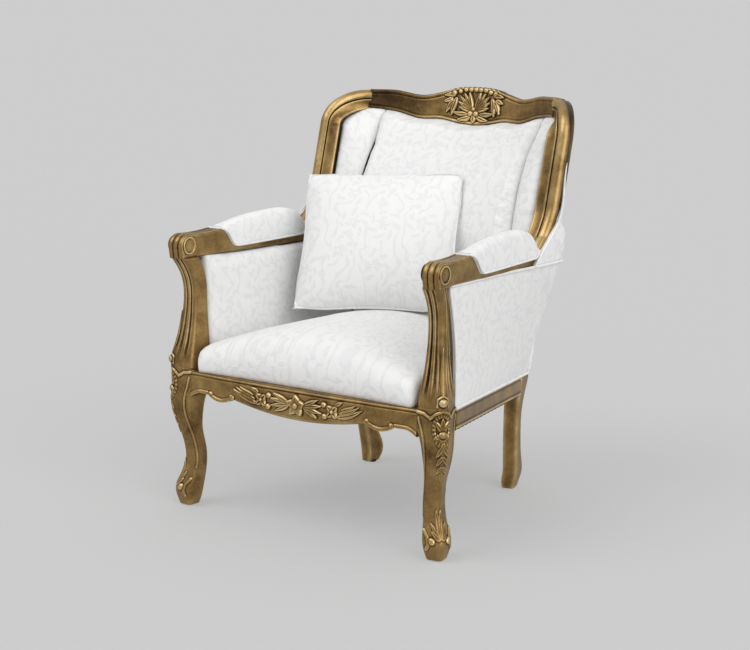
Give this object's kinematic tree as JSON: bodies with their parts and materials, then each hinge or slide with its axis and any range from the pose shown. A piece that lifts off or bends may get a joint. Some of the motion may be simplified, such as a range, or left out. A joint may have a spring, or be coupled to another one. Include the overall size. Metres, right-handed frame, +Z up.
{
  "type": "wing armchair",
  "caption": "Upholstered armchair with short wings: carved gilded frame, cabriole front legs, fluted arm posts, scrolled handholds, padded arms and a loose throw pillow.",
  "frame": {"origin": "on the floor, under the middle of the chair's overall box", "axes": "+Z up, the chair faces -Y, +X to the viewer's right"},
  "size_m": [0.7986, 0.818, 1],
  "materials": {
    "gilt_wood": "worn antique gilding on carved beech",
    "frame_wood": "bare beech",
    "screw_steel": "zinc plated",
    "glide_plastic": "matt",
    "webbing": "woven jute",
    "hessian": "open weave",
    "dust_cloth": "thin non-woven",
    "foam": "cut foam",
    "filling": "loose fibre",
    "damask": "pale tone-on-tone damask weave"
  },
  "bodies": {
    "chair": {"arm_and_crest_dowels": "frame_wood", "arm_left": "gilt_wood", "arm_pad_left": "damask", "arm_pad_right": "damask", "arm_post_left": "gilt_wood", "arm_post_right": "gilt_wood", "arm_right": "gilt_wood", "arm_stay_rail_left": "frame_wood", "arm_stay_rail_right": "frame_wood", "back_cover": "damask", "back_foam": "foam", "back_stay_rail": "frame_wood", "back_webbing": "webbing", "corner_block_screws": "screw_steel", "corner_blocks": "frame_wood", "crest_rail": "gilt_wood", "dust_cover": "dust_cloth", "foot_glides": "glide_plastic", "front_leg_left": "gilt_wood", "front_leg_right": "gilt_wood", "front_rail": "gilt_wood", "inside_arm_left": "damask", "inside_arm_right": "damask", "outside_arm_left": "damask", "outside_arm_right": "damask", "outside_back": "damask", "outside_wing_left": "damask", "outside_wing_right": "damask", "rail_dowels": "frame_wood", "rear_rail": "frame_wood", "rear_stile_left": "gilt_wood", "rear_stile_right": "gilt_wood", "seat_cover": "damask", "seat_foam": "foam", "seat_hessian": "hessian", "seat_webbing_cross": "webbing", "seat_webbing_long": "webbing", "side_rail_left": "gilt_wood", "side_rail_right": "gilt_wood", "wing_pad_left": "damask", "wing_pad_right": "damask", "wing_stile_left": "gilt_wood", "wing_stile_right": "gilt_wood"},
    "pillow": {"pillow_cover": "damask", "pillow_filling": "filling"}
  },
  "joints": [
    {"name": "pillow_lift", "type": "slide", "parent": "chair", "child": "pillow", "axis": [0, 0, 1], "range_m": [0, 0.6]}
  ]
}
